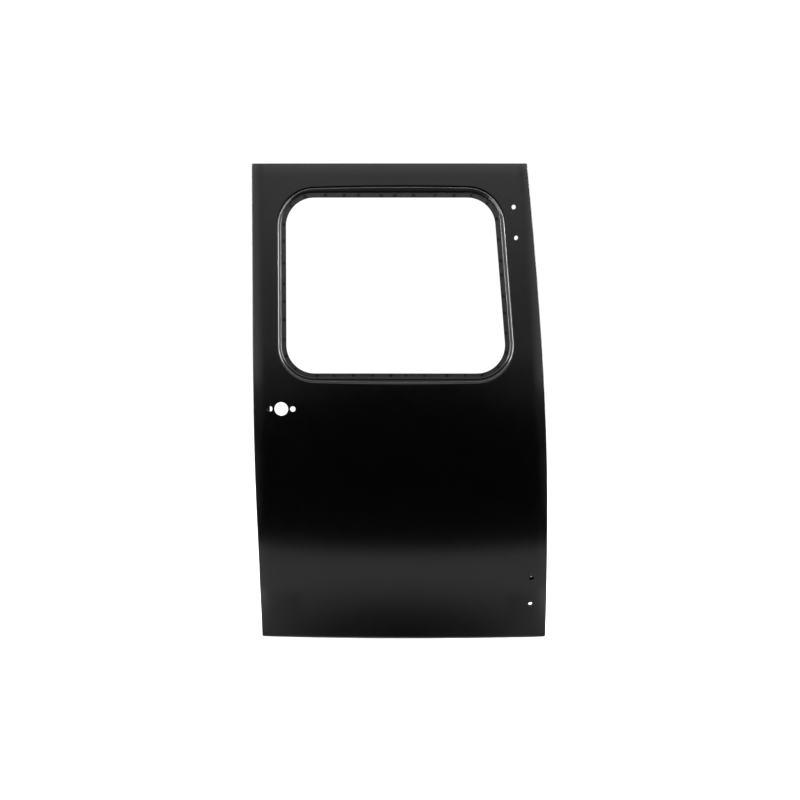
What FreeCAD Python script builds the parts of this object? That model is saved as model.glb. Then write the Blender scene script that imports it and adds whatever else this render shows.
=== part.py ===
import FreeCAD, Part
import os
import re
import Sketcher

doc = FreeCAD.newDocument("van_rear_door")
V = FreeCAD.Vector

# Driving dimensions, in millimetres and degrees
# X runs from the lock edge to the hinge edge, Y into the van, Z up.
# The datum is the middle of the lower hinge, on the outer face of its tapping plate.
SIZES = {
    "skin_gauge": 0.9,
    "frame_gauge": 0.9,
    "sheet_gap": 0.2,
    "lock_edge": 505,
    "hinge_edge_top": 20.6,
    "hinge_edge_bottom": 30.8,
    "hinge_edge_radius": 9400,
    "head_height": 102.7,
    "door_bottom": 96.5,
    "corner_radius": 3,
    "waist_height": 303.3,
    "waist_radius": 945,
    "upper_lean": 6,
    "lower_tuck": 13.6,
    "crown_radius": 3755,
    "crown_centre": 238,
    "hem_width": 6.5,
    "hem_fold": 1.2,
    "window_left": 445.2,
    "window_right_top": 79.7,
    "window_right_bottom": 53.4,
    "header_height": 57.7,
    "window_bottom": 418.5,
    "window_radius": 50,
    "glazing_flange": 7.5,
    "reveal_depth": 14.5,
    "reveal_draft": 32,
    "reveal_outer_radius": 3,
    "reveal_inner_radius": 2.5,
    "web_depth": 30,
    "edge_flange": 10,
    "seat_flange": 10.5,
    "frame_bend": 3,
    "frame_corner_radius": 20,
    "lock_rail_width": 27,
    "cavity_right_top": 48,
    "cavity_right_bottom": 30,
    "cavity_top": 384,
    "cavity_bottom": 39,
    "cavity_radius": 25,
    "upper_hinge_height": 681.7,
    "upper_hinge_offset": 41.3,
    "upper_hinge_lean": 5,
    "hinge_seat_depth": 13,
    "bolt_spacing": 54,
    "skin_bolt_radius": 4.4,
    "bracket_bolt_radius": 5,
    "tapped_radius": 4,
    "plate_width": 24,
    "plate_length": 72,
    "plate_thickness": 5,
    "bracket_gauge": 1.5,
    "bracket_width": 26,
    "bracket_length": 116,
    "bracket_pocket": 80,
    "lower_run_out": 100,
    "upper_access_radius": 8,
    "lower_access_radius": 12,
    "handle_height": 354.3,
    "handle_offset": 454.6,
    "handle_radius": 12.2,
    "handle_screw_spacing": 41,
    "handle_screw_radius": 4.8,
    "handle_plate_width": 62,
    "handle_plate_height": 44,
    "handle_plate_gauge": 1.2,
    "handle_plate_clearance": 0.5,
}
sheet = doc.addObject("Spreadsheet::Sheet", "Sizes")
for row, (alias, value) in enumerate(SIZES.items(), 1):
    sheet.set(f"A{row}", alias)
    sheet.set(f"B{row}", str(value))
    sheet.setAlias(f"B{row}", alias)
doc.recompute()


# Helpers that tie sizes to the sheet
def named(expression):
    """Put the sheet's name before each of its aliases."""
    return re.sub(r"[a-z_]+", lambda m: "Sizes." + m[0] if m[0] in SIZES else m[0], expression)


def size(expression):
    """The present value of an expression."""
    return float(sheet.evalExpression(named(expression)))


def bind(item, **expressions):
    """Tie properties to expressions; x, y and z stand for the placement."""
    for key, expression in expressions.items():
        path = f"Placement.Base.{key}" if key in ("x", "y", "z") else key.replace("__", ".")
        item.setExpression(path, named(expression))


# Cutters and stock reach this far to either side of the datum, in Y
REACH = 250
FRONT = f"-{REACH}"
DEEP = f"{2 * REACH}"

UPRIGHT = FreeCAD.Rotation(V(1, 0, 0), 90)
SIDEWAYS = FreeCAD.Rotation(V(1, 1, 1), 120)


def outline(name, corners, arcs=None, turn=UPRIGHT):
    """A closed sketch through corners given as expressions; arcs maps a side to its signed radius."""
    arcs = arcs or {}
    sketch = doc.addObject("Sketcher::SketchObject", name)
    sketch.Placement = FreeCAD.Placement(V(0, 0, 0), turn)
    points = [V(size(x), size(y), 0) for x, y in corners]
    ends = []
    for side, start in enumerate(points):
        stop = points[(side + 1) % len(points)]
        if side not in arcs:
            sketch.addGeometry(Part.LineSegment(start, stop), False)
            ends.append((1, 2))
            continue
        radius = size(arcs[side])
        chord = stop - start
        left = V(-chord.y, chord.x, 0).normalize()
        sag = abs(radius) - (radius ** 2 - chord.Length ** 2 / 4) ** 0.5
        middle = (start + stop) * 0.5 - left * (sag if radius > 0 else -sag)
        sketch.addGeometry(Part.Arc(start, middle, stop), False)
        ends.append((1, 2) if radius > 0 else (2, 1))
    for side, (x, y) in enumerate(corners):
        after = (side + 1) % len(corners)
        sketch.addConstraint(Sketcher.Constraint("Coincident", side, ends[side][1], after, ends[after][0]))
        for kind, letter, expression in (("DistanceX", "x", x), ("DistanceY", "y", y)):
            index = sketch.addConstraint(
                Sketcher.Constraint(kind, -1, 1, side, ends[side][0], size(expression)))
            sketch.renameConstraint(index, f"{letter}{side}")
            sketch.setExpression(f"Constraints.{letter}{side}", named(expression))
        if side in arcs:
            index = sketch.addConstraint(Sketcher.Constraint("Radius", side, abs(size(arcs[side]))))
            sketch.renameConstraint(index, f"r{side}")
            sketch.setExpression(f"Constraints.r{side}", named(f"abs({arcs[side]})"))
    return sketch


def grown(name, wire, distance):
    """A closed outline moved outwards by a distance, with round corners."""
    ring = doc.addObject("Part::Offset2D", name)
    ring.Source = wire
    ring.Join = "Arc"
    ring.Value = size(distance)
    bind(ring, Value=distance)
    return ring


def prism(name, wire, distance):
    """A grown outline carried right through the door, square to its own plane."""
    solid = doc.addObject("Part::Extrusion", name)
    solid.Base = grown(name + "_ring", wire, distance)
    solid.DirMode = "Normal"
    solid.LengthFwd = REACH
    solid.LengthRev = REACH
    solid.Solid = True
    return solid


def flared(name, wire, distance, draft):
    """A short plug square to the outline's plane, which widens towards the outside by a draft angle."""
    plug = doc.addObject("Part::Extrusion", name)
    plug.Base = grown(name + "_ring", wire, distance)
    plug.DirMode = "Normal"
    plug.Solid = True
    bind(plug, LengthFwd="reveal_depth", LengthRev="2 * reveal_depth",
         TaperAngle=draft, TaperAngleRev=f"-{draft}")
    return plug


def box(name, width, depth, height, x, y, z, lean=0):
    """A box by its middle in X and Z and its front in Y, turned about Y by a lean in degrees."""
    solid = doc.addObject("Part::Box", name)
    bind(solid, Length=width, Width=depth, Height=height)
    solid.Placement = FreeCAD.Placement(V(0, 0, 0), FreeCAD.Rotation(V(0, 1, 0), size(str(lean))))
    half_x, half_z = f"({width}) / 2", f"({height}) / 2"
    bind(solid, x=f"{x} - ({half_x}) * cos({lean}) - ({half_z}) * sin({lean})", y=y,
         z=f"{z} + ({half_x}) * sin({lean}) - ({half_z}) * cos({lean})")
    return solid


def drill(name, x, z, radius):
    """A round cutter along Y."""
    cutter = doc.addObject("Part::Cylinder", name)
    cutter.Height = 2 * REACH
    cutter.Placement = FreeCAD.Placement(V(0, -REACH, 0), FreeCAD.Rotation(V(1, 0, 0), -90))
    bind(cutter, Radius=radius, x=x, z=z)
    return cutter


def joined(kind, name, pieces):
    """Several pieces fused or intersected."""
    item = doc.addObject(kind, name)
    item.Shapes = pieces
    return item


def fuse(name, *pieces):
    return joined("Part::MultiFuse", name, list(pieces))


def common(name, *pieces):
    return joined("Part::MultiCommon", name, list(pieces))


def cut(name, base, *tools):
    item = doc.addObject("Part::Cut", name)
    item.Base = base
    item.Tool = tools[0] if len(tools) == 1 else fuse(name + "_tools", *tools)
    return item


def touches(item, point):
    """Whether a point lies on a face of an object."""
    return any(face.distToShape(Part.Vertex(point))[0] < 0.001 for face in item.Shape.Faces)


def eased(kind, name, base, *rings):
    """Ease the edges where two shapes meet, by a fillet or a chamfer; each ring ends with its size."""
    doc.recompute()
    edges = []
    for index, edge in enumerate(base.Shape.Edges, 1):
        middle = edge.valueAt(sum(edge.ParameterRange) / 2)
        for first, second, reach in rings:
            if touches(first, middle) and touches(second, middle):
                edges.append((index, size(reach), size(reach)))
                break
    item = doc.addObject(kind, name)
    item.Base = base
    item.Edges = edges
    return item


# The door's form: a side profile bent at the waist, turned about a far upright axis to crown it
MARGIN = 60
BACK = 220
CROWN_SWEEP = 16
DOOR_TOP = "(upper_hinge_height + head_height)"
WINDOW_TOP = f"({DOOR_TOP} - header_height)"


def crown_drop(x):
    """How far the crown takes the skin into the van, at a place across the door."""
    return f"(crown_radius - sqrt(crown_radius^2 - (crown_centre + {x})^2))"


WAIST = f"(-hinge_seat_depth - {crown_drop('0')} - waist_height * tan(lower_tuck))"
TANGENT = "waist_radius * tan((upper_lean + lower_tuck) / 2)"
TOP = f"{DOOR_TOP} + {MARGIN}"
FOOT = f"-door_bottom - {MARGIN}"
PROFILE = [
    (f"{WAIST} + ({TOP} - waist_height) * tan(upper_lean)", TOP),
    (f"{WAIST} + {TANGENT} * sin(upper_lean)", f"waist_height + {TANGENT} * cos(upper_lean)"),
    (f"{WAIST} + {TANGENT} * sin(lower_tuck)", f"waist_height - {TANGENT} * cos(lower_tuck)"),
    (f"{WAIST} + (waist_height - ({FOOT})) * tan(lower_tuck)", FOOT),
    (f"{BACK}", FOOT),
    (f"{BACK}", TOP),
]
GLASS_PROFILE = [
    PROFILE[0],
    (f"{WAIST}", "waist_height"),
    (f"{BACK}", "waist_height"),
    PROFILE[5],
]
stock = box("stock", f"lock_edge + hinge_edge_bottom + {MARGIN}", DEEP,
            f"{DOOR_TOP} + door_bottom + {MARGIN}", "(hinge_edge_bottom - lock_edge) / 2", FRONT,
            f"({DOOR_TOP} - door_bottom) / 2")


def crowned(name, level):
    """Everything behind the skin's outer face, moved back by a level."""
    profile = outline(name + "_profile", PROFILE, {1: "waist_radius"}, SIDEWAYS)
    bind(profile, x="-crown_centre", y=level)
    block = doc.addObject("Part::Revolution", name + "_block")
    block.Source = profile
    block.Axis = V(0, 0, 1)
    block.Angle = CROWN_SWEEP
    block.Symmetric = True
    block.Solid = True
    bind(block, Base__x="-crown_centre", Base__y=f"crown_radius + {WAIST} + {level}")
    return common(name, stock, block)


def straight(name, corners, level, arcs=None):
    """Everything behind a profile that runs straight across the door."""
    profile = outline(name + "_profile", corners, arcs, SIDEWAYS)
    bind(profile, x=f"-lock_edge - {MARGIN}", y=level)
    block = doc.addObject("Part::Extrusion", name + "_block")
    block.Base = profile
    block.DirMode = "Custom"
    block.Dir = V(1, 0, 0)
    block.Solid = True
    bind(block, LengthFwd=f"lock_edge + hinge_edge_bottom + 2 * {MARGIN}")
    return common(name, stock, block)


FLANGE = "skin_gauge + sheet_gap"
HEM = f"{FLANGE} + frame_gauge + sheet_gap"
outer_form = crowned("outer_form", "0")
flange_form = crowned("flange_form", FLANGE)
hem_form = crowned("hem_form", HEM)
hem_back_form = crowned("hem_back_form", f"{HEM} + skin_gauge")

# The outlines, drawn inside their round corners and grown outwards
door_core = outline("door_core", [
    ("-lock_edge + corner_radius", "-door_bottom + corner_radius"),
    ("hinge_edge_bottom - corner_radius", "-door_bottom + corner_radius"),
    ("-hinge_edge_top - corner_radius", f"{DOOR_TOP} - corner_radius"),
    ("-lock_edge + corner_radius", f"{DOOR_TOP} - corner_radius"),
], {1: "hinge_edge_radius - corner_radius"})

SILL = "(window_bottom - waist_height) / cos(upper_lean)"
HEAD = f"({WINDOW_TOP} - waist_height) / cos(upper_lean)"
SLOPE = f"((window_right_top - window_right_bottom) / ({HEAD} - {SILL}))"
SLANT = f"sqrt(1 + {SLOPE}^2)"
GLASS = FreeCAD.Rotation(V(1, 0, 0), 90 - size("upper_lean"))
window_core = outline("window_core", [
    ("-window_left + window_radius", f"{SILL} + window_radius"),
    (f"-window_right_bottom - {SLOPE} * window_radius - {SLANT} * window_radius", f"{SILL} + window_radius"),
    (f"-window_right_top + {SLOPE} * window_radius - {SLANT} * window_radius", f"{HEAD} - window_radius"),
    ("-window_left + window_radius", f"{HEAD} - window_radius"),
], turn=GLASS)
bind(window_core, y=WAIST, z="waist_height")

cavity_core = outline("cavity_core", [
    ("-lock_edge + lock_rail_width + cavity_radius", "-cavity_bottom + cavity_radius"),
    ("-cavity_right_bottom - cavity_radius", "-cavity_bottom + cavity_radius"),
    ("-cavity_right_top - cavity_radius", "cavity_top - cavity_radius"),
    ("-lock_edge + lock_rail_width + cavity_radius", "cavity_top - cavity_radius"),
])

door = prism("door", door_core, "corner_radius")
window = prism("window", window_core, "window_radius")
cavity = prism("cavity", cavity_core, "cavity_radius")

# Bolt and screw places
HALF = "bolt_spacing / 2"
LEAN = "upper_hinge_lean"
LOWER_BOLTS = [("0", f"{sign}{HALF}") for sign in ("", "-")]
UPPER_BOLTS = [(f"-upper_hinge_offset {sign} {HALF} * sin({LEAN}) * -1",
                f"upper_hinge_height {sign} {HALF} * cos({LEAN})") for sign in ("+", "-")]
SCREWS = [(f"-handle_offset {sign} handle_screw_spacing / 2", "handle_height") for sign in ("+", "-")]
SPINDLE = ("-handle_offset", "handle_height")


def drills(name, places, radius):
    return [drill(f"{name}_{n}", x, z, radius) for n, (x, z) in enumerate(places, 1)]


# Outer skin: one pressing with the window reveal, its edge folded over the frame as a hem
RECESS = ("window_radius + glazing_flange + reveal_inner_radius * tan((90 - reveal_draft) / 2)"
          " + reveal_depth * tan(reveal_draft)")


def skin_tool(name, inset):
    """The skin's front or back as a block: the punch has no inset, the die has the sheet's gauge."""
    face = crowned(name + "_face", inset)
    floor = straight(name + "_floor", GLASS_PROFILE, f"reveal_depth + {inset}")
    wall = flared(name + "_wall", window_core, f"{RECESS} + {inset} / cos(reveal_draft)", "reveal_draft")
    block = cut(name, face, cut(name + "_recess", wall, floor))
    return eased("Part::Fillet", name + "_round", block,
                 (wall, face, f"reveal_outer_radius - {inset}"),
                 (wall, floor, f"reveal_inner_radius + {inset}"))


outer_sheet = cut("outer_sheet", skin_tool("skin_punch", "0"), skin_tool("skin_die", "skin_gauge"))
fold_inner = prism("fold_inner", door_core, "corner_radius - hem_fold")
hem_inner = prism("hem_inner", door_core, "corner_radius - hem_width")
panel = cut("panel", common("panel_blank", outer_sheet, fold_inner), window)
rim = common("rim", cut("rim_band", outer_form, hem_back_form), door)
fold = cut("fold", rim, fold_inner)
hem = cut("hem", common("hem_blank", rim, hem_form), hem_inner)
shell = fuse("shell", panel, fold, hem)
shell.Refine = True
outer_skin = cut("outer_skin", shell,
                 *drills("skin_lower", LOWER_BOLTS, "skin_bolt_radius"),
                 *drills("skin_upper", UPPER_BOLTS, "skin_bolt_radius"),
                 *drills("skin_screw", SCREWS, "handle_screw_radius"),
                 *drills("skin_spindle", [SPINDLE], "handle_radius"))

# Inner frame: one pair of tools for all four pressings, which part where they meet
# Its bends are flats across the corners, a little longer on the die, which keeps the sheet's gauge.
WEB = f"web_depth + {crown_drop('0')}"
frame_core = grown("frame_core", door_core, "corner_radius - edge_flange - frame_corner_radius")


def frame_tool(name, inset):
    """The frame's front or back as a block: a rim behind the hem, a deep web and the glazing flange."""
    rim_face = crowned(name + "_rim_face", f"{FLANGE} + {inset}")
    web = straight(name + "_web", PROFILE, f"{WEB} + {inset}", {1: "waist_radius"})
    glazing = straight(name + "_glazing", GLASS_PROFILE, f"reveal_depth + {FLANGE} + {inset}")
    edge = prism(name + "_edge", frame_core, f"frame_corner_radius + {inset}")
    plateau = prism(name + "_plateau", window_core, f"window_radius + seat_flange - {inset}")
    block = fuse(name, web, cut(name + "_rim", rim_face, edge), common(name + "_seat", glazing, plateau))
    reach = f"frame_bend + (2 - sqrt(2)) * {inset}"
    return eased("Part::Chamfer", name + "_bent", block, (edge, web, reach), (plateau, web, reach))


frame_sheet = cut("frame_sheet", frame_tool("frame_punch", "0"), frame_tool("frame_die", "frame_gauge"))
frame_edge = prism("frame_edge", door_core, "corner_radius - hem_fold - sheet_gap")
frame_cut = cut("frame_cut", common("frame_blank", frame_sheet, frame_edge), window, cavity,
                *drills("access_lower", LOWER_BOLTS, "lower_access_radius"),
                *drills("access_upper", UPPER_BOLTS, "upper_access_radius"))

# The four pressings of the frame part along straight seams
SEAM = "sheet_gap / 2"
upper_zone = box("upper_zone", "2 * lock_edge", DEEP, DOOR_TOP, "-lock_edge / 2", FRONT,
                 f"cavity_top - cavity_radius + {SEAM} + {DOOR_TOP} / 2")
lower_zone = box("lower_zone", "2 * lock_edge", DEEP, DOOR_TOP, "-lock_edge / 2", FRONT,
                 f"-cavity_bottom + cavity_radius - {SEAM} - {DOOR_TOP} / 2")
SIDE_HEIGHT = "cavity_top + cavity_bottom - 2 * cavity_radius - 2 * sheet_gap"
SIDE_MIDDLE = "(cavity_top - cavity_bottom) / 2"
lock_zone = box("lock_zone", "lock_edge", DEEP, SIDE_HEIGHT, "-lock_edge", FRONT, SIDE_MIDDLE)
hinge_zone = box("hinge_zone", "lock_edge", DEEP, SIDE_HEIGHT, "0.2 * lock_edge", FRONT, SIDE_MIDDLE)
window_frame = common("window_frame", frame_cut, upper_zone)
lock_side_rail = common("lock_side_rail", frame_cut, lock_zone)
hinge_side_rail = common("hinge_side_rail", frame_cut, hinge_zone)
bottom_rail = common("bottom_rail", frame_cut, lower_zone)


# Hinge brackets: pressings on the back of the skin, with a flat seat for each tapping plate
bracket_back = crowned("bracket_back", f"{FLANGE} + bracket_gauge")


def hinge_bracket(name, x, face, z, lean, bolts, run_out):
    """run_out lengthens the pocket downwards, so that a steep skin meets the seat without a wall."""
    tools = []
    for part, form, inset in (("punch", flange_form, "0"), ("die", bracket_back, "bracket_gauge")):
        pocket = box(f"{name}_{part}_pocket", "4 * bracket_width", DEEP,
                     f"bracket_pocket + {run_out} + 2 * {inset}",
                     x, f"{face} - bracket_gauge + {inset} - {DEEP}", f"{z} - {run_out} / 2", lean)
        tools.append(cut(f"{name}_{part}", form, pocket))
    blank = box(name + "_blank", "bracket_width", DEEP, "bracket_length", x, FRONT, z, lean)
    strip = common(name + "_strip", cut(name + "_sheet", *tools), blank)
    return cut(name, strip, *drills(name + "_bolt", bolts, "bracket_bolt_radius"))


def tapping_plate(name, x, face, z, lean, bolts):
    """A thick plate on the bracket's seat; the threads are left plain."""
    blank = box(name + "_blank", "plate_width", "plate_thickness", "plate_length", x, face, z, lean)
    return cut(name, blank, *drills(name + "_tap", bolts, "tapped_radius"))


UPPER_FACE = (f"({WAIST} + (upper_hinge_height - waist_height) * tan(upper_lean)"
              f" + {crown_drop('-upper_hinge_offset')} + hinge_seat_depth)")
UPPER = ("-upper_hinge_offset", UPPER_FACE, "upper_hinge_height", f"-{LEAN}")
LOWER = ("0", "0", "0", "0")
upper_hinge_bracket = hinge_bracket("upper_hinge_bracket", *UPPER, UPPER_BOLTS, "0")
lower_hinge_bracket = hinge_bracket("lower_hinge_bracket", *LOWER, LOWER_BOLTS, "lower_run_out")
upper_tapping_plate = tapping_plate("upper_tapping_plate", *UPPER, UPPER_BOLTS)
lower_tapping_plate = tapping_plate("lower_tapping_plate", *LOWER, LOWER_BOLTS)

# Handle plate: a flat doubler that follows the back of the skin round the handle's holes
handle_back_form = crowned("handle_back_form", f"{FLANGE} + handle_plate_gauge")
handle_blank = box("handle_blank", "handle_plate_width", DEEP, "handle_plate_height",
                   "-handle_offset", FRONT, "handle_height")
handle_plate = cut("handle_plate",
                   common("handle_sheet", cut("handle_band", flange_form, handle_back_form), handle_blank),
                   *drills("plate_screw", SCREWS, "handle_screw_radius + handle_plate_clearance"),
                   *drills("plate_spindle", [SPINDLE], "handle_radius + handle_plate_clearance"))

# Check every object and write the sub-parts
SUBPARTS = [
    outer_skin, window_frame, lock_side_rail, hinge_side_rail, bottom_rail,
    upper_hinge_bracket, lower_hinge_bracket, upper_tapping_plate, lower_tapping_plate, handle_plate,
]
doc.recompute()
for item in doc.Objects:
    if "Invalid" in item.State or "Error" in item.State:
        raise RuntimeError(f"{item.Name} did not compute")
    shape = getattr(item, "Shape", None)
    if shape is not None and (shape.isNull() or not shape.isValid()):
        raise RuntimeError(f"{item.Name} has no valid shape")
os.makedirs("parts", exist_ok=True)
for item in SUBPARTS:
    if len(item.Shape.Solids) != 1:
        raise RuntimeError(f"{item.Label} has {len(item.Shape.Solids)} solids")
    item.Shape.exportStep(f"parts/{item.Label}.step")
    print(item.Label, [round(v, 1) for v in (item.Shape.BoundBox.XLength, item.Shape.BoundBox.YLength,
                                             item.Shape.BoundBox.ZLength)], round(item.Shape.Volume))
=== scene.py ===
# %% [markdown]
# # A van rear door shell
#
# The object is one of the two rear doors of a small van, as it comes from the press shop: an outer skin with
# a waist and a recessed window opening, its edge folded over an inner frame, all dipped in black primer.
# There is no glass, hinge, handle or seal on it.
# In this lesson the solids of the frame give the places and sizes, and each sheet gets the smooth surface,
# the rolled edges and the finish that the eye expects of pressed steel.

# %% Load the frame
import math

import bmesh
import bpy
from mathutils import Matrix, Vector


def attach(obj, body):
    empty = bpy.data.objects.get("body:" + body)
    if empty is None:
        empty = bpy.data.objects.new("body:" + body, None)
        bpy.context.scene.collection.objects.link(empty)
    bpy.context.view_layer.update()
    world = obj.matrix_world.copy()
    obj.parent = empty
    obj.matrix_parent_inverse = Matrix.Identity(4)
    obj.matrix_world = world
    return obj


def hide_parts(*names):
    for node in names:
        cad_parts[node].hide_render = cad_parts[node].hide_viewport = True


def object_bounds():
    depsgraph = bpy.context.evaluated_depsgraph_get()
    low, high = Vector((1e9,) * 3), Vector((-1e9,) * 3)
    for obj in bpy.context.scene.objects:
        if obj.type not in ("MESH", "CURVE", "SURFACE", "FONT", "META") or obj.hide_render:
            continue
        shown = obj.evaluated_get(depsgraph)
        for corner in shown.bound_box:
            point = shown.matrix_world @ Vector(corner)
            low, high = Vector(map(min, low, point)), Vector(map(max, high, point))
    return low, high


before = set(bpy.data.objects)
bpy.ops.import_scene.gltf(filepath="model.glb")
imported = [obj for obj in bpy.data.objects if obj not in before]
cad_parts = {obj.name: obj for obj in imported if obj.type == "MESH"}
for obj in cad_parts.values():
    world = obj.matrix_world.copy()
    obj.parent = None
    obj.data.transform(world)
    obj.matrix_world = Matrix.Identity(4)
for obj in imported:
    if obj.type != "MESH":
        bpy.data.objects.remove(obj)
cad_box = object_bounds()
print("frame nodes:", ", ".join(sorted(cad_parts)))

# %% [markdown]
# ## The form of the skin
#
# A door skin is easiest to describe by a rule. Seen from the side, it is two straight lines joined by a long
# arc at the waist. Seen from above, it is an arc too, because the side profile is turned about a far upright
# axis. The rule gives a depth for any place on the door, so every sheet below can be laid on it exactly,
# which a mesh smoothed by subdivision would only approach.

# %% Driving sizes in metres, and the rule of the skin
MM = 0.001
SKIN_GAUGE = 0.9 * MM
FRAME_GAUGE = 0.9 * MM
SHEET_GAP = 0.2 * MM
WAIST_HEIGHT = 303.3 * MM
WAIST_RADIUS = 945 * MM
UPPER_LEAN = math.radians(6)
LOWER_TUCK = math.radians(13.6)
CROWN_RADIUS = 3755 * MM
CROWN_X = -238 * MM
HINGE_SEAT = 13 * MM

crown_at_datum = CROWN_RADIUS - math.sqrt(CROWN_RADIUS ** 2 - CROWN_X ** 2)
WAIST_Y = -HINGE_SEAT - crown_at_datum - WAIST_HEIGHT * math.tan(LOWER_TUCK)
arc_reach = WAIST_RADIUS * math.tan((UPPER_LEAN + LOWER_TUCK) / 2)
ARC_TOP = WAIST_HEIGHT + arc_reach * math.cos(UPPER_LEAN)
ARC_FOOT = WAIST_HEIGHT - arc_reach * math.cos(LOWER_TUCK)
ARC_Z = ARC_TOP - WAIST_RADIUS * math.sin(UPPER_LEAN)
ARC_Y = WAIST_Y + arc_reach * math.sin(UPPER_LEAN) + WAIST_RADIUS * math.cos(UPPER_LEAN)
CROWN_AXIS_Y = CROWN_RADIUS + WAIST_Y


def side_profile(z):
    """Y of the skin's outer face at the middle of its crown."""
    if z > ARC_TOP:
        return WAIST_Y + (z - WAIST_HEIGHT) * math.tan(UPPER_LEAN)
    if z < ARC_FOOT:
        return WAIST_Y + (WAIST_HEIGHT - z) * math.tan(LOWER_TUCK)
    return ARC_Y - math.sqrt(WAIST_RADIUS ** 2 - (z - ARC_Z) ** 2)


def skin_y(x, z):
    """Y of the skin's outer face anywhere on the door."""
    radius = CROWN_AXIS_Y - side_profile(z)
    return CROWN_AXIS_Y - math.sqrt(radius ** 2 - (x - CROWN_X) ** 2)


print(f"waist arc from {ARC_FOOT:.3f} to {ARC_TOP:.3f} m, skin at the datum {skin_y(0, 0):.4f} m")

# %% [markdown]
# ## Two outlines with matching columns
#
# The skin is a sheet with one large hole, so its mesh can run in rings from the window's edge to the door's.
# For that, both outlines need the same number of points. Each outline is drawn as a core with four sides and
# grown outwards by its corner radius, as the solids were, and each side and corner of the window is matched
# with the same side and corner of the door. Points lie closer together near the corners, where shapes turn.

# %% Outline columns
SIDE_STEPS = 120
CORNER_STEPS = 20
EVEN_SHARE = 0.25


def side_places():
    """Places along a side from 0 to 1, closer together near both ends."""
    for step in range(SIDE_STEPS):
        even = step / SIDE_STEPS
        yield EVEN_SHARE * even + (1 - EVEN_SHARE) * (1 - math.cos(math.pi * even)) / 2


def straight_side(start, stop):
    """Points, outward normals and distances from the nearer end along a straight side."""
    along = stop - start
    normal = Vector((along.y, -along.x)).normalized()
    for place in side_places():
        yield start + along * place, normal, min(place, 1 - place) * along.length


def bowed_side(start, stop, radius):
    """The same along a side that bows outwards with a large radius."""
    along = stop - start
    inward = Vector((-along.y, along.x)).normalized()
    centre = (start + stop) / 2 + inward * math.sqrt(radius ** 2 - along.length_squared / 4)
    first, last = ((p - centre) for p in (start, stop))
    begin = math.atan2(first.y, first.x)
    turn = math.atan2(last.y, last.x) - begin
    for place in side_places():
        angle = begin + turn * place
        normal = Vector((math.cos(angle), math.sin(angle)))
        yield centre + normal * radius, normal, min(place, 1 - place) * along.length


def columns(core, bows=None):
    """Every column of an outline: a core point, its outward normal, and how far it is from a corner."""
    sides = []
    for index, start in enumerate(core):
        stop = core[(index + 1) % len(core)]
        radius = (bows or {}).get(index)
        sides.append(list(bowed_side(start, stop, radius) if radius else straight_side(start, stop)))
    result = []
    for index, side in enumerate(sides):
        following = sides[(index + 1) % len(sides)]
        corner = core[(index + 1) % len(core)]
        result += side
        begin = math.atan2(side[-1][1].y, side[-1][1].x)
        turn = (math.atan2(following[0][1].y, following[0][1].x) - begin) % (2 * math.pi)
        for step in range(CORNER_STEPS):
            angle = begin + turn * step / CORNER_STEPS
            result.append((corner, Vector((math.cos(angle), math.sin(angle))), 0.0))
    return result


LOCK_EDGE = -505 * MM
HINGE_EDGE_TOP = -20.6 * MM
HINGE_EDGE_FOOT = 30.8 * MM
HINGE_EDGE_RADIUS = 9400 * MM
DOOR_TOP = 784.4 * MM
DOOR_FOOT = -96.5 * MM
DOOR_CORNER = 3 * MM
door_columns = columns([
    Vector((LOCK_EDGE + DOOR_CORNER, DOOR_FOOT + DOOR_CORNER)),
    Vector((HINGE_EDGE_FOOT - DOOR_CORNER, DOOR_FOOT + DOOR_CORNER)),
    Vector((HINGE_EDGE_TOP - DOOR_CORNER, DOOR_TOP - DOOR_CORNER)),
    Vector((LOCK_EDGE + DOOR_CORNER, DOOR_TOP - DOOR_CORNER)),
], {1: HINGE_EDGE_RADIUS - DOOR_CORNER})

WINDOW_LEFT = -445.2 * MM
WINDOW_RIGHT_TOP = -79.7 * MM
WINDOW_RIGHT_FOOT = -53.4 * MM
WINDOW_CORNER = 50 * MM
SILL = (418.5 * MM - WAIST_HEIGHT) / math.cos(UPPER_LEAN)
HEAD = (726.7 * MM - WAIST_HEIGHT) / math.cos(UPPER_LEAN)
slope = (WINDOW_RIGHT_FOOT - WINDOW_RIGHT_TOP) / (HEAD - SILL)
slant = math.sqrt(1 + slope ** 2)
window_columns = columns([
    Vector((WINDOW_LEFT + WINDOW_CORNER, SILL + WINDOW_CORNER)),
    Vector((WINDOW_RIGHT_FOOT - (slope + slant) * WINDOW_CORNER, SILL + WINDOW_CORNER)),
    Vector((WINDOW_RIGHT_TOP + (slope - slant) * WINDOW_CORNER, HEAD - WINDOW_CORNER)),
    Vector((WINDOW_LEFT + WINDOW_CORNER, HEAD - WINDOW_CORNER)),
])
print(f"{len(door_columns)} columns round the door, {len(window_columns)} round the window")

# %% [markdown]
# ## The window reveal
#
# Round the window the skin turns in over a rolled edge, slopes back as a short wall, and turns again into a
# flat flange, which carries the rubber strip of the glass. The flange lies in one plane, although the skin
# around it is crowned, so the wall is deepest in the middle of the top and bottom. A bevel can't give that.
# Each ring is therefore worked out in the plane of the glass, and the rolled edge is an arc that touches both
# the wall and the skin in every column.

# %% Rings of the reveal
GLAZING_FLANGE = 7.5 * MM
REVEAL_DEPTH = 14.5 * MM
REVEAL_DRAFT = math.radians(32)
ROLL_RADIUS = 4.5 * MM
FOOT_RADIUS = 2.5 * MM
WALL_TURN = math.pi / 2 - REVEAL_DRAFT
WALL_FOOT = GLAZING_FLANGE + FOOT_RADIUS * math.tan(WALL_TURN / 2)
ROLL_STEPS = 8
DEPTH_ROUNDS = 4
ARC_ROUNDS = 8
GUARD = 0.3 * MM
SIN, COS = math.sin(UPPER_LEAN), math.cos(UPPER_LEAN)


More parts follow.
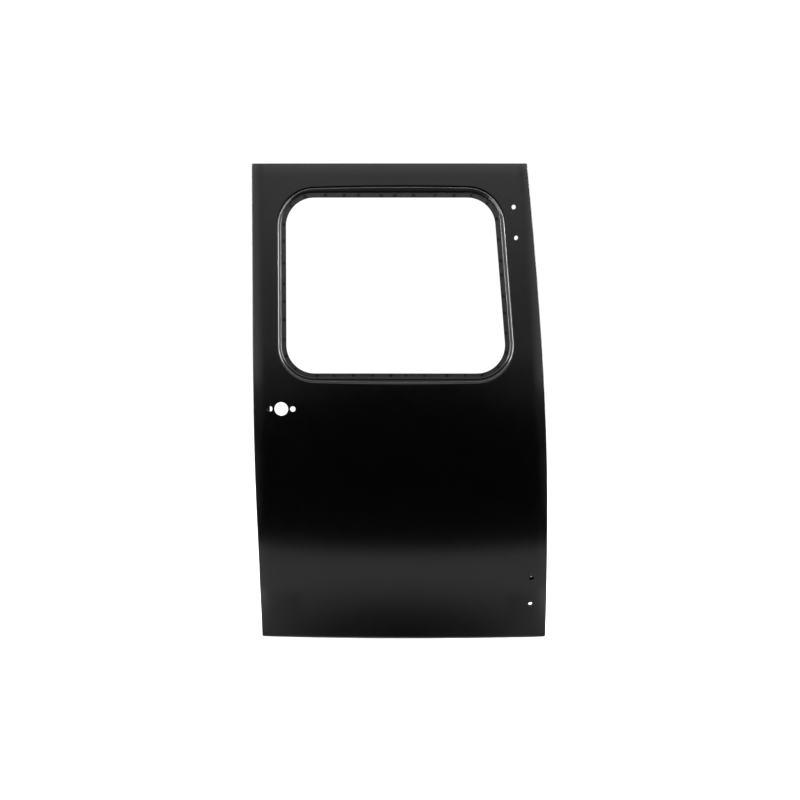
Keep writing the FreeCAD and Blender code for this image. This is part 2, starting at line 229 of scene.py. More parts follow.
def glass_point(flat, depth):
    """A place in the plane of the glass, moved into the van by a depth."""
    return Vector((flat.x, WAIST_Y + flat.y * SIN + depth * COS, WAIST_HEIGHT + flat.y * COS - depth * SIN))


def skin_depth(flat):
    """The depth at which the skin's outer face passes a place in the plane of the glass."""
    depth = 0.0
    for _ in range(DEPTH_ROUNDS):
        point = glass_point(flat, depth)
        depth += (skin_y(point.x, point.z) - point.y) * COS
    return depth


def window_flat(column, offset):
    core, normal, _ = column
    return core + normal * (WINDOW_CORNER + offset)


def window_ring(offset, depth):
    """A ring round the window at one offset and one depth."""
    return [glass_point(window_flat(column, offset), depth) for column in window_columns]


def foot_ring(share, radius):
    """A ring of the concave foot; share runs from the flange at 0 to the wall at 1."""
    angle = share * WALL_TURN
    return window_ring(GLAZING_FLANGE + radius * math.sin(angle),
                       REVEAL_DEPTH - FOOT_RADIUS + radius * math.cos(angle))


def roll_arc(column):
    """Offset and depth of the rolled edge's centre, and the skin's slope there, in one column."""
    offset = WALL_FOOT
    for _ in range(ARC_ROUNDS):
        near, far = (skin_depth(window_flat(column, offset + step)) for step in (-MM, MM))
        rise = math.atan((far - near) / (2 * MM))
        depth = (near + far) / 2 + ROLL_RADIUS / math.cos(rise)
        wall_reach = (REVEAL_DEPTH - depth) * math.tan(REVEAL_DRAFT)
        offset = WALL_FOOT + wall_reach + ROLL_RADIUS / math.cos(REVEAL_DRAFT)
    return offset, depth, rise


roll_arcs = [roll_arc(column) for column in window_columns]


def roll_ring(share, radius):
    """A ring of the rolled edge; share runs from the wall at 0 to the skin at 1."""
    ring = []
    for column, (offset, depth, rise) in zip(window_columns, roll_arcs):
        angle = REVEAL_DRAFT + share * (WALL_TURN + rise)
        ring.append(glass_point(window_flat(column, offset - radius * math.cos(angle)),
                                depth - radius * math.sin(angle)))
    return ring


FLANGE_ROWS = [GUARD, 2 * MM, 4 * MM, 6 * MM, GLAZING_FLANGE - GUARD]


def reveal(gauge):
    """All rings from the flange's edge to the skin, on the outer face or, with a gauge, on the inner one."""
    rings = [window_ring(row, REVEAL_DEPTH + gauge) for row in FLANGE_ROWS]
    steps = [step / ROLL_STEPS for step in range(ROLL_STEPS + 1)]
    rings += [foot_ring(step, FOOT_RADIUS + gauge) for step in steps]
    rings += [roll_ring(step, ROLL_RADIUS - gauge) for step in steps]
    return rings


front_reveal = reveal(0)
back_reveal = reveal(SKIN_GAUGE)
print(f"{len(front_reveal)} rings on each face of the reveal")

# %% [markdown]
# ## The panel and its hem
#
# From the reveal to the door's edge the rings spread evenly, and the rule of the skin lifts them into place.
# At the edge the real sheet is folded back flat over the rim of the inner frame: a hem. Its fold is an arc as
# thick as the three sheets. Its return is cut on a mitre at the corners, since a fold can't go round them.
# The whole section is one closed loop of rings, so the sheet has its true thickness everywhere.

# %% Rings of the panel and the hem
PANEL_RINGS = 44
HEM_WIDTH = 6.5 * MM
FOLD_STEPS = 8
FOLD_RADIUS = (2 * SKIN_GAUGE + FRAME_GAUGE + 2 * SHEET_GAP) / 2
MITRE = 0.8
MITRE_GAP = 0.3 * MM


def door_flat(column, inset):
    """A place on the door's outline, moved inwards; near a corner it stops at the mitre."""
    core, normal, from_corner = column
    reach = min(inset, DOOR_CORNER - MITRE_GAP + MITRE * from_corner)
    return core + normal * (DOOR_CORNER - reach)


def on_skin(flat, depth):
    return Vector((flat.x, skin_y(flat.x, flat.y) + depth, flat.y))


def door_ring(inset, depth):
    return [on_skin(door_flat(column, inset), depth) for column in door_columns]


def panel(inner_ring, depth):
    """Rings from the reveal to the fold, laid on the skin."""
    inner = [Vector((point.x, point.z)) for point in inner_ring]
    outer = [door_flat(column, FOLD_RADIUS) for column in door_columns]
    rings = []
    for step in range(1, PANEL_RINGS):
        share = step / PANEL_RINGS
        rings.append([on_skin(a.lerp(b, share), depth) for a, b in zip(inner, outer)])
    guard_in = [on_skin(a + (b - a).normalized() * GUARD, depth) for a, b in zip(inner, outer)]
    guard_out = [on_skin(b + (a - b).normalized() * GUARD, depth) for a, b in zip(inner, outer)]
    return [guard_in, *rings, guard_out]


def fold(radius):
    """Rings round the fold, from the front sheet to the return."""
    rings = []
    for step in range(FOLD_STEPS + 1):
        angle = math.pi * step / FOLD_STEPS
        inset = FOLD_RADIUS - radius * math.sin(angle)
        rings.append(door_ring(inset, FOLD_RADIUS - radius * math.cos(angle)))
    return rings


inner_fold_radius = FOLD_RADIUS - SKIN_GAUGE
hem_rows = [FOLD_RADIUS + GUARD, 4 * MM, HEM_WIDTH - GUARD, HEM_WIDTH]
hem_outer = [door_ring(row, 2 * FOLD_RADIUS) for row in hem_rows]
hem_inner = [door_ring(row, 2 * FOLD_RADIUS - SKIN_GAUGE) for row in reversed(hem_rows)]
section = [
    *front_reveal,
    *panel(front_reveal[-1], 0),
    *fold(FOLD_RADIUS),
    *hem_outer,
    *hem_inner,
    *reversed(fold(inner_fold_radius)),
    *reversed(panel(front_reveal[-1], SKIN_GAUGE)),
    *reversed(back_reveal),
]
print(f"{len(section)} rings in the closed section of the skin")

# %% [markdown]
# ## One mesh for the skin, and its holes
#
# Neighbouring rings are joined by quads, and the last ring is joined to the first.
# The holes for the hinge bolts, the handle's spindle and its screws are punched by a boolean, which cuts
# through both faces at once. Shading stays smooth except where the sheet was cut.

# %% Build the skin
SHARP = math.radians(38)


def new_piece(name, mesh):
    """An object at the origin, with its place in its mesh."""
    piece = bpy.data.objects.new(name, mesh)
    bpy.context.scene.collection.objects.link(piece)
    return piece


def finish_mesh(bm, name, sharp=SHARP):
    """A mesh from bmesh with outward faces, smooth except at sharp edges."""
    bmesh.ops.recalc_face_normals(bm, faces=bm.faces)
    mesh = bpy.data.meshes.new(name)
    bm.to_mesh(mesh)
    bm.free()
    mesh.shade_smooth()
    mesh.set_sharp_from_angle(angle=sharp)
    return mesh


def loft(rings):
    """A closed mesh through closed rings, the last joined to the first."""
    bm = bmesh.new()
    rows = [[bm.verts.new(point) for point in ring] for ring in rings]
    count = len(rows[0])
    for row, following in zip(rows, rows[1:] + rows[:1]):
        for index in range(count):
            after = (index + 1) % count
            bm.faces.new((row[index], row[after], following[after], following[index]))
    return bm


def baked(piece):
    """Apply a piece's modifiers to its mesh."""
    shaped = bpy.data.meshes.new_from_object(piece.evaluated_get(bpy.context.evaluated_depsgraph_get()))
    piece.modifiers.clear()
    piece.data = shaped


HINGE_LEAN = math.radians(5)
BOLT_REACH = 27 * MM
UPPER_HINGE = Vector((-41.3 * MM, 681.7 * MM))
HANDLE = Vector((-454.6 * MM, 354.3 * MM))
SCREW_REACH = 20.5 * MM
BOLT_RADIUS = 4.4 * MM
SCREW_RADIUS = 4.8 * MM
SPINDLE_RADIUS = 12.2 * MM
upper_bolt = Vector((-math.sin(HINGE_LEAN), math.cos(HINGE_LEAN))) * BOLT_REACH
lower_bolt = Vector((0, BOLT_REACH))
screw = Vector((SCREW_REACH, 0))
holes = [(HANDLE, SPINDLE_RADIUS)]
for sign in (-1, 1):
    holes.append((UPPER_HINGE + sign * upper_bolt, BOLT_RADIUS))
    holes.append((sign * lower_bolt, BOLT_RADIUS))
    holes.append((HANDLE + sign * screw, SCREW_RADIUS))

HOLE_SIDES = 64
PUNCH_REACH = 0.3


def punches():
    """All punches in one mesh, each a long prism along Y."""
    bm = bmesh.new()
    for centre, radius in holes:
        ends = []
        for y in (-PUNCH_REACH, PUNCH_REACH):
            ring = []
            for side in range(HOLE_SIDES):
                angle = 2 * math.pi * side / HOLE_SIDES
                ring.append(bm.verts.new((centre.x + radius * math.cos(angle), y,
                                          centre.y + radius * math.sin(angle))))
            ends.append(ring)
        for side in range(HOLE_SIDES):
            after = (side + 1) % HOLE_SIDES
            bm.faces.new((ends[0][side], ends[0][after], ends[1][after], ends[1][side]))
        for ring in ends:
            bm.faces.new(ring)
    return bm


door_skin = new_piece("door_skin", finish_mesh(loft(section), "door_skin"))
punch = new_piece("punch", finish_mesh(punches(), "punch"))
punching = door_skin.modifiers.new("punching", "BOOLEAN")
punching.object = punch
punching.solver = "EXACT"
baked(door_skin)
bpy.data.objects.remove(punch)
door_skin.data.set_sharp_from_angle(angle=SHARP)
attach(door_skin, "root")
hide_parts("outer_skin")
print(f"door_skin has {len(door_skin.data.polygons)} faces and {len(holes)} holes")

# %% [markdown]
# ## The inner frame and the hinge plates
#
# Behind the skin lie the window frame, three rails, two hinge brackets with their tapping plates, and a
# doubler behind the handle. Their solids are already right, but they come as loose triangles.
# A copy of each is merged, its flat triangles are dissolved into whole faces, and weighted normals shade the
# bends round while the large flats stay flat.

# %% Merge the solids of the inner pieces
MERGE = 0.002 * MM
FLAT = math.radians(0.4)
BEND = math.radians(50)
INNER = {
    "window_frame_pressing": ("window_frame", "frame_primer"),
    "lock_rail_pressing": ("lock_side_rail", "frame_primer"),
    "hinge_rail_pressing": ("hinge_side_rail", "frame_primer"),
    "bottom_rail_pressing": ("bottom_rail", "frame_primer"),
    "upper_bracket": ("upper_hinge_bracket", "plate_primer"),
    "lower_bracket": ("lower_hinge_bracket", "plate_primer"),
    "upper_nut_plate": ("upper_tapping_plate", "plate_primer"),
    "lower_nut_plate": ("lower_tapping_plate", "plate_primer"),
    "handle_doubler": ("handle_plate", "plate_primer"),
}
inner_pieces = {}
for name, (solid, slot) in INNER.items():
    bm = bmesh.new()
    bm.from_mesh(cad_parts[solid].data)
    bmesh.ops.remove_doubles(bm, verts=bm.verts, dist=MERGE)
    bmesh.ops.dissolve_limit(bm, angle_limit=FLAT, verts=bm.verts, edges=bm.edges)
    piece = new_piece(name, finish_mesh(bm, name, BEND))
    weighted = piece.modifiers.new("weighted", "WEIGHTED_NORMAL")
    weighted.keep_sharp = True
    baked(piece)
    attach(piece, "root")
    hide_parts(solid)
    inner_pieces[name] = piece
    print(f"{name} has {len(piece.data.polygons)} faces")

# %% [markdown]
# ## Spot welds on the glazing flange
#
# Skin and frame are joined round the window by a row of spot welds, whose electrodes leave shallow marks.
# Marks that repeat along a path suit Geometry Nodes: a curve along the middle of the flange is divided by a
# spacing, and one small mark is set on each point, with a little difference in place and size.

# %% Weld marks
WELD_SPACING = 33 * MM
WELD_RADIUS = 2.7 * MM
WELD_RIM = 0.3 * MM
WELD_ROW = 3.8 * MM
WELD_STRAY = 5 * MM
WELD_SIZES = (0.85, 1.1)
WELD_SIDES = 20
BUTTON_RINGS = 8
BUTTON_FLATNESS = 0.03
RIM_SIDES = 8
RIM_FLATNESS = 0.6
FLANGE_PACK = SKIN_GAUGE + SHEET_GAP + FRAME_GAUGE


def node(tree, kind, values=None, links=None, **settings):
    """Add one node with its settings, its unlinked values, and its links from other nodes' outputs."""
    item = tree.nodes.new(kind)
    for key, value in settings.items():
        setattr(item, key, value)
    for key, value in (values or {}).items():
        item.inputs[key].default_value = value
    for key, source in (links or {}).items():
        tree.links.new(source, item.inputs[key])
    return item


def chance(tree, least, most, seed):
    """A random number for each point."""
    draw = node(tree, "FunctionNodeRandomValue", {"Min": least, "Max": most, "Seed": seed})
    return [socket for socket in draw.outputs if socket.type == "VALUE"][0]


def weld_tree():
    """A mark on every step along a curve: a shallow button inside a fine raised rim."""
    tree = bpy.data.node_groups.new("weld_marks", "GeometryNodeTree")
    for title, kind in (("Path", "NodeSocketGeometry"), ("Spacing", "NodeSocketFloat"),
                        ("Radius", "NodeSocketFloat"), ("Rim", "NodeSocketFloat"),
                        ("Material", "NodeSocketMaterial")):
        tree.interface.new_socket(title, in_out="INPUT", socket_type=kind)
    tree.interface.new_socket("Marks", in_out="OUTPUT", socket_type="NodeSocketGeometry")
    given = node(tree, "NodeGroupInput").outputs
    path = node(tree, "GeometryNodeMeshToCurve", links={"Mesh": given["Path"]}).outputs["Curve"]
    points = node(tree, "GeometryNodeResampleCurve", links={"Curve": path, "Length": given["Spacing"]},
                  mode="LENGTH").outputs["Curve"]
    along = node(tree, "GeometryNodeInputTangent").outputs["Tangent"]
    stray = chance(tree, -WELD_STRAY, WELD_STRAY, 3)
    step = node(tree, "ShaderNodeVectorMath", links={0: along, "Scale": stray}, operation="SCALE")
    points = node(tree, "GeometryNodeSetPosition",
                  links={"Geometry": points, "Offset": step.outputs["Vector"]}).outputs["Geometry"]
    button = node(tree, "GeometryNodeMeshUVSphere", {"Segments": WELD_SIDES, "Rings": BUTTON_RINGS},
                  {"Radius": given["Radius"]}).outputs["Mesh"]
    ring = node(tree, "GeometryNodeCurvePrimitiveCircle", {"Resolution": WELD_SIDES},
                {"Radius": given["Radius"]}, mode="RADIUS").outputs["Curve"]
    wire = node(tree, "GeometryNodeCurvePrimitiveCircle", {"Resolution": RIM_SIDES},
                {"Radius": given["Rim"]}, mode="RADIUS").outputs["Curve"]
    rim = node(tree, "GeometryNodeCurveToMesh", links={"Curve": ring, "Profile Curve": wire}).outputs["Mesh"]
    low_button = node(tree, "GeometryNodeTransform", {"Scale": (1, 1, BUTTON_FLATNESS)},
                      {"Geometry": button}).outputs["Geometry"]
    low_rim = node(tree, "GeometryNodeTransform", {"Scale": (1, 1, RIM_FLATNESS)},
                   {"Geometry": rim}).outputs["Geometry"]
    mark = node(tree, "GeometryNodeJoinGeometry")
    for shape in (low_button, low_rim):
        tree.links.new(shape, mark.inputs["Geometry"])
    sizes = chance(tree, *WELD_SIZES, 7)
    placed = node(tree, "GeometryNodeInstanceOnPoints", {"Rotation": (math.pi / 2 - UPPER_LEAN, 0, 0)},
                  {"Points": points, "Instance": mark.outputs["Geometry"], "Scale": sizes})
    solid = node(tree, "GeometryNodeRealizeInstances",
                 links={"Geometry": placed.outputs["Instances"]}).outputs["Geometry"]
    smooth = node(tree, "GeometryNodeSetShadeSmooth", links={"Geometry": solid}).outputs["Geometry"]
    coated = node(tree, "GeometryNodeSetMaterial",
                  links={"Geometry": smooth, "Material": given["Material"]}).outputs["Geometry"]
    node(tree, "NodeGroupOutput", links={"Marks": coated})
    return tree


def weld_path():
    """Two closed lines along the middle of the flange, one on its outer and one on its inner face."""
    bm = bmesh.new()
    for depth in (REVEAL_DEPTH, REVEAL_DEPTH + FLANGE_PACK):
        line = [bm.verts.new(point) for point in window_ring(WELD_ROW, depth)]
        for index, vert in enumerate(line):
            bm.edges.new((vert, line[(index + 1) % len(line)]))
    mesh = bpy.data.meshes.new("weld_path")
    bm.to_mesh(mesh)
    bm.free()
    return mesh


# %% [markdown]
# ## Black primer
#
# The shell is dipped in cathodic primer: a black, fairly glossy coat about 20 microns thick that follows the
# steel. It gives the eye three things. Its colour is nearly black with a faint cloudiness, its gloss is even
# but slightly broken by orange peel, and the sheet under it keeps the long, very low waves of the press.
# The inner sheets get the same dip but drain more slowly, so they are duller and cloudier.
# The skin has three more. It falls away slightly towards its outer edges, its flange is a little lighter and
# rougher, and a painted highlight draws a pale line along the rolled edge of the reveal, round the window.
# Each has its place by the rule of the skin, so it stays on the metal from any side.

# %% Materials
CLOUD_MM = 45
CLOUD_STOPS = (0.2, 0.8)
PATCH_SHARE = 0.4
PATCH_RANGE = (0.3, 0.7)
DUST_MM = 0.9
DUST_RANGE = (0.35, 0.65)
DUST_ROUGHNESS = (-0.02, 0.03)
WAVE_MM = 120
WAVE_STRENGTH = 0.25
WAVE_HEIGHT = 0.4 * MM
PEEL_MM = 2.2
PEEL_HEIGHT = 0.03 * MM
EDGE_ROLL = 22 * MM
EDGE_DROP = 1.8 * MM
TOP_ROLL_SHARE = 0.4
WINDOW_LOWEST = 0.4
FLANGE_SKIN = 0.6 * MM
FLANGE_TONE = "#121212"
FLANGE_EXTRA_ROUGHNESS = 0.12
# The pale line along the rolled edge of the reveal is a painted highlight.
PAINTED_HIGHLIGHT = "#505050"
HIGHLIGHT_FALL = 2.3 * MM
HIGHLIGHT_REACH = 1.0 * MM


def colour(code):
    """A linear colour from an sRGB hex value."""
    parts = [int(code[i:i + 2], 16) / 255 for i in (1, 3, 5)]
    return [p / 12.92 if p <= 0.04045 else ((p + 0.055) / 1.055) ** 2.4 for p in parts] + [1.0]


def arithmetic(tree, operation, first, second, limit=False):
    """One sum of two sockets or numbers; limit keeps the result between 0 and 1."""
    item = node(tree, "ShaderNodeMath", operation=operation, use_clamp=limit)
    for key, source in enumerate((first, second)):
        if isinstance(source, (int, float)):
            item.inputs[key].default_value = source
        else:
            tree.links.new(source, item.inputs[key])
    return item.outputs["Value"]


def fading(tree, distance, reach):
    """1 at no distance, falling to 0 at the reach."""
    return arithmetic(tree, "SUBTRACT", 1.0, arithmetic(tree, "DIVIDE", distance, reach), limit=True)


def axes_of(tree, place):
    return node(tree, "ShaderNodeSeparateXYZ", links={"Vector": place}).outputs


def edge_roll(tree, place):
    """How far the skin falls away near its edges, from 0 inside the roll to 1 on the edge."""
    axes = axes_of(tree, place)
    height = DOOR_TOP - DOOR_FOOT
    bow = height ** 2 / (8 * HINGE_EDGE_RADIUS)
    up = arithmetic(tree, "DIVIDE", arithmetic(tree, "SUBTRACT", axes["Z"], DOOR_FOOT), height)
    down = arithmetic(tree, "SUBTRACT", 1.0, up)
    chord = arithmetic(tree, "MULTIPLY", up, HINGE_EDGE_TOP - HINGE_EDGE_FOOT)
    bulge = arithmetic(tree, "MULTIPLY", arithmetic(tree, "MULTIPLY", up, 4 * bow), down)
    hinge_line = arithmetic(tree, "ADD", arithmetic(tree, "ADD", chord, HINGE_EDGE_FOOT), bulge)
    edges = [
        (1.0, arithmetic(tree, "SUBTRACT", axes["X"], LOCK_EDGE)),
        (1.0, arithmetic(tree, "SUBTRACT", hinge_line, axes["X"])),
        (TOP_ROLL_SHARE, arithmetic(tree, "SUBTRACT", DOOR_TOP, axes["Z"])),
    ]
    total = 0.0
    for share, distance in edges:
        near = fading(tree, distance, EDGE_ROLL)
        drop = arithmetic(tree, "MULTIPLY", arithmetic(tree, "POWER", near, 2.0), share)
        total = arithmetic(tree, "ADD", total, drop)
    return total


def glass_depth(tree, place):
    """How deep a place lies behind the plane of the glass."""
    inward = node(tree, "ShaderNodeVectorMath", {1: (0, COS, -SIN)}, {0: place}, operation="DOT_PRODUCT")
    return arithmetic(tree, "SUBTRACT", inward.outputs["Value"], WAIST_Y * COS - WAIST_HEIGHT * SIN)


def beside_window(tree, place):
    """1 from the window's sill upwards and 0 below it."""
    return arithmetic(tree, "GREATER_THAN", axes_of(tree, place)["Z"], WINDOW_LOWEST)


def flange_mask(tree, place):
    """1 on the glazing flange, deep behind the plane of the glass, and 0 on the rest of the skin."""
    deep = arithmetic(tree, "GREATER_THAN", glass_depth(tree, place), REVEAL_DEPTH - FLANGE_SKIN)
    return arithmetic(tree, "MULTIPLY", deep, beside_window(tree, place))


def rolled_edge_highlight(tree, place):
    """Where the painted highlight lies: 1 along the rolled edge of the reveal, a little below the rule of the
    skin, and 0 beside it.
    """
    axes = axes_of(tree, place)
    aside = arithmetic(tree, "ABSOLUTE", arithmetic(tree, "SUBTRACT", axes["X"], CROWN_X), 0.0)
    crown = arithmetic(tree, "MULTIPLY", arithmetic(tree, "POWER", aside, 2.0), COS / (2 * CROWN_RADIUS))
    below = arithmetic(tree, "MAXIMUM", arithmetic(tree, "SUBTRACT", ARC_TOP, axes["Z"]), 0.0)
    bend = arithmetic(tree, "DIVIDE", arithmetic(tree, "POWER", below, 2.0), 2 * WAIST_RADIUS)
    rule = arithmetic(tree, "ADD", crown, bend)
    fall = arithmetic(tree, "SUBTRACT", glass_depth(tree, place), rule)
    off = arithmetic(tree, "ABSOLUTE", arithmetic(tree, "SUBTRACT", fall, HIGHLIGHT_FALL), 0.0)
    return arithmetic(tree, "MULTIPLY", fading(tree, off, HIGHLIGHT_REACH), beside_window(tree, place))


def primer(name, dark, light, gloss, peel, cloud=CLOUD_MM, sheen=0.5, is_skin=False):
    """Cathodic dip primer: cloudy near-black, satin, with orange peel and the press's long waves."""
    material = bpy.data.materials.new(name)
    material.use_nodes = True
    tree = material.node_tree
    tree.nodes.clear()
    place = node(tree, "ShaderNodeTexCoord").outputs["Object"]

    def noise(size_mm, detail):
        return node(tree, "ShaderNodeTexNoise", {"Scale": 1 / (size_mm * MM), "Detail": detail},
                    {"Vector": place}).outputs["Fac"]

    def stretched(value, usual, wanted):
        """A value moved from its usual range to a wanted one."""
        ends = {"From Min": usual[0], "From Max": usual[1], "To Min": wanted[0], "To Max": wanted[1]}
        return node(tree, "ShaderNodeMapRange", ends, {"Value": value}).outputs["Result"]

    def laid_over(base, code, mask):
        """A colour laid over the base where the mask is 1."""
        return node(tree, "ShaderNodeMixRGB", {"Color2": colour(code)},
                    {"Fac": mask, "Color1": base}).outputs["Color"]

    tone = node(tree, "ShaderNodeValToRGB", links={"Fac": noise(cloud, 4)})
    for stop, position, code in zip(tone.color_ramp.elements, CLOUD_STOPS, (dark, light)):
        stop.position = position
        stop.color = colour(code)
    base = tone.outputs["Color"]
    patchy = stretched(noise(cloud * PATCH_SHARE, 5), PATCH_RANGE, gloss)
    dusty = stretched(noise(DUST_MM, 2), DUST_RANGE, DUST_ROUGHNESS)
    rough = arithmetic(tree, "ADD", patchy, dusty)
    form = node(tree, "ShaderNodeBump", {"Strength": WAVE_STRENGTH, "Distance": WAVE_HEIGHT},
                {"Height": noise(WAVE_MM, 1)})
    if is_skin:
        form = node(tree, "ShaderNodeBump", {"Strength": 1.0, "Distance": EDGE_DROP},
                    {"Height": edge_roll(tree, place), "Normal": form.outputs["Normal"]}, invert=True)
        # The glazing flange is made a little lighter and rougher than the rest of the skin.
        on_flange = flange_mask(tree, place)
        base = laid_over(base, FLANGE_TONE, on_flange)
        # A painted highlight: a pale line along the rolled edge of the reveal.
        base = laid_over(base, PAINTED_HIGHLIGHT, rolled_edge_highlight(tree, place))
        rough = arithmetic(tree, "ADD", rough, arithmetic(tree, "MULTIPLY", on_flange, FLANGE_EXTRA_ROUGHNESS))
    skin = node(tree, "ShaderNodeBump", {"Strength": peel, "Distance": PEEL_HEIGHT},
                {"Height": noise(PEEL_MM, 2), "Normal": form.outputs["Normal"]})
    shader = node(tree, "ShaderNodeBsdfPrincipled", {"IOR": 1.5, "Specular IOR Level": sheen},
                  {"Base Color": base, "Roughness": rough, "Normal": skin.outputs["Normal"]})
    node(tree, "ShaderNodeOutputMaterial", links={"Surface": shader.outputs["BSDF"]})
    return material


skin_primer = primer("dip_primer_outer", "#010101", "#020202", gloss=(0.16, 0.19), peel=0.4, is_skin=True)
frame_primer = primer("dip_primer_inner", "#060607", "#0f0f10", gloss=(0.32, 0.44), peel=0.7)
plate_primer = primer("dip_primer_plate", "#0a0a0b", "#161617", gloss=(0.4, 0.52), peel=0.9, cloud=18)
weld_primer = primer("dip_primer_weld", "#010101", "#040404", gloss=(0.4, 0.5), peel=1.0, cloud=6, sheen=0.22)
by_slot = {"frame_primer": frame_primer, "plate_primer": plate_primer}
door_skin.data.materials.clear()
door_skin.data.materials.append(skin_primer)
for name, (_, slot) in INNER.items():
    inner_pieces[name].data.materials.clear()
    inner_pieces[name].data.materials.append(by_slot[slot])
print("materials:", ", ".join(m.name for m in (skin_primer, frame_primer, plate_primer, weld_primer)))

# %% Set the weld marks
weld_marks = new_piece("weld_marks", weld_path())
welding = weld_marks.modifiers.new("welding", "NODES")
tree = weld_tree()
welding.node_group = tree
inputs = {"Spacing": WELD_SPACING, "Radius": WELD_RADIUS, "Rim": WELD_RIM, "Material": weld_primer}
for socket in tree.interface.items_tree:
    if socket.in_out == "INPUT" and socket.name in inputs:
        welding[socket.identifier] = inputs[socket.name]
baked(weld_marks)
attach(weld_marks, "root")
print(f"weld_marks has {len(weld_marks.data.polygons)} faces")

# %% [markdown]
# ## Floor, light and camera
#
# A black satin sheet shows mostly what it reflects, so the room is built for its reflections.
# The upper half leans back and mirrors the far wall, which is darker near the ground. The waist mirrors dark
# ground, and the tucked-under lower half mirrors the pale ground close to the door.
# Cards that only reflections see give those tones, as a photographer would set up cards out of frame. They
# lie on the ground before, beside and behind the door, stand along the far wall, and hang overhead.
# Two strip lamps stand almost in the plane of the door, where only the edges of the reveal catch them.

# %% Floor and cards
FLOOR_SIZE = 120.0
FLOOR_Z = cad_box[0].z - 0.5 * MM
PAPER = {"Base Color": colour("#fdfdfc"), "Roughness": 0.9, "Specular IOR Level": 0.1}
UNSEEN_BY = ("camera", "diffuse", "transmission", "volume_scatter", "shadow")
CARD_LIFT = 2 * MM
CARD_NEAR = 0.1
CARD_FAR = -7.0
CARD_HALF_WIDTH = 9.0
CARD_TOP = 3.2


def level(left, right, far, near, z):
    """The corners of a level rectangle."""
    return [(x, y, z) for x, y in ((left, far), (right, far), (right, near), (left, near))]


def upright(left, right, low, high, y):
    """The corners of an upright rectangle that faces the door."""
    return [(x, y, z) for x, z in ((left, low), (right, low), (right, high), (left, high))]


def ground(left, right, far, near, layer):
    """The corners of a rectangle just above the floor, where a higher layer covers a lower one."""
    return level(left, right, far, near, FLOOR_Z + layer * CARD_LIFT)


def room_sheet(name, corners):
    """A flat four-sided sheet that belongs to the room."""
    mesh = bpy.data.meshes.new(name)
    mesh.from_pydata(corners, [], [(0, 1, 2, 3)])
    piece = new_piece(name, mesh)
    return piece


def tone_card(name, corners, centre, reach, tones):
    """A card seen only in reflections, whose brightness follows tones outwards from a centre line."""
    card = room_sheet(name, corners)
    material = bpy.data.materials.new(name)
    material.use_nodes = True
    tree = material.node_tree
    tree.nodes.clear()
    place = node(tree, "ShaderNodeTexCoord").outputs["Object"]
    scale = [1 / side if side else 0 for side in reach]
    shift = [-c * s for c, s in zip(centre, scale)]
    placed = node(tree, "ShaderNodeMapping", {"Location": shift, "Scale": scale}, {"Vector": place})
    distance = node(tree, "ShaderNodeVectorMath", links={0: placed.outputs["Vector"]}, operation="LENGTH")
    ramp = node(tree, "ShaderNodeValToRGB", links={"Fac": distance.outputs["Value"]})
    stops = ramp.color_ramp.elements
    while len(stops) < len(tones):
        stops.new(0.5)
    for stop, (position, tone) in zip(stops, tones):
        stop.position = position
        stop.color = (tone, tone, tone, 1)
    glow = node(tree, "ShaderNodeEmission", links={"Color": ramp.outputs["Color"]})
    node(tree, "ShaderNodeOutputMaterial", links={"Surface": glow.outputs["Emission"]})
    card.data.materials.append(material)
    for rays in UNSEEN_BY:
        setattr(card, "visible_" + rays, False)


half = FLOOR_SIZE / 2
floor = room_sheet("floor", level(-half, half, -half, half, FLOOR_Z))
paper = bpy.data.materials.new("pale_paper")
paper.use_nodes = True
for key, value in PAPER.items():
    paper.node_tree.nodes["Principled BSDF"].inputs[key].default_value = value
floor.data.materials.append(paper)

wide = CARD_HALF_WIDTH
PALE_GROUND = 0.67
GROUND_REACH = 0.5
GROUND_TONES = [(0.0, PALE_GROUND), (0.435, PALE_GROUND), (0.505, 0.0)]
tone_card("ground_card", ground(-wide, wide, CARD_FAR, CARD_NEAR, 1),
          (0, 0, 0), (0, GROUND_REACH, 0), GROUND_TONES)

# The foot card is darkest in its middle. It is a painted shadow of the door on the ground near its foot, seen
# only in reflections.
FOOT_REACH = Vector((0.40, 0.17, 0))
FOOT_SHADOW_TONES = [(0.0, 0.08), (0.35, 0.18), (0.7, 0.48), (1.0, PALE_GROUND)]
tone_card("foot_card", ground(CROWN_X - FOOT_REACH.x, CROWN_X + FOOT_REACH.x, -FOOT_REACH.y, CARD_NEAR, 2),
          (CROWN_X, 0, 0), FOOT_REACH, FOOT_SHADOW_TONES)

WALL_TONES = [(0.0, 0.03), (0.22, 0.26), (0.48, 0.39), (0.75, 0.92), (1.0, 1.25)]
low = FLOOR_Z + CARD_LIFT
tone_card("wall_card", upright(-wide, wide, low, CARD_TOP, CARD_FAR),
          (0, 0, low), (0, 0, CARD_TOP - low), WALL_TONES)

WALL_SIDE_Y = -6.0
WALL_SIDE_START = 2.0
WALL_SIDE_TONES = [(0.22, 0.45), (0.3, 0.78), (0.4, 1.25)]
SIDE_REACH = 3.0
SIDE_LIMITS = [CARD_NEAR, -0.1, -0.22, -0.45, -0.65, -0.9, CARD_FAR]
SIDE_ZONES = [
    ("near", 0.21, [(0.07, 0.34), (0.087, 0.52), (0.097, 0.8), (0.107, 1.4)]),
    ("middle", 0.27, [(0.09, PALE_GROUND), (0.14, 0.85), (0.2, 1.0)]),
    ("outer", 0.36, [(0.13, 0.0), (0.15, 0.08), (0.165, 0.28), (0.2, 0.6)]),
    ("distant", 0.41, [(0.15, 0.0), (0.18, 0.08), (0.198, 0.24), (0.233, 0.5)]),
    ("remote", 0.47, [(0.16, 0.0), (0.203, 0.1), (0.238, 0.25), (0.283, 0.4)]),
    ("far", 0.6, [(0.2, 0.0), (0.3, 0.12), (0.6, 0.2)]),
]
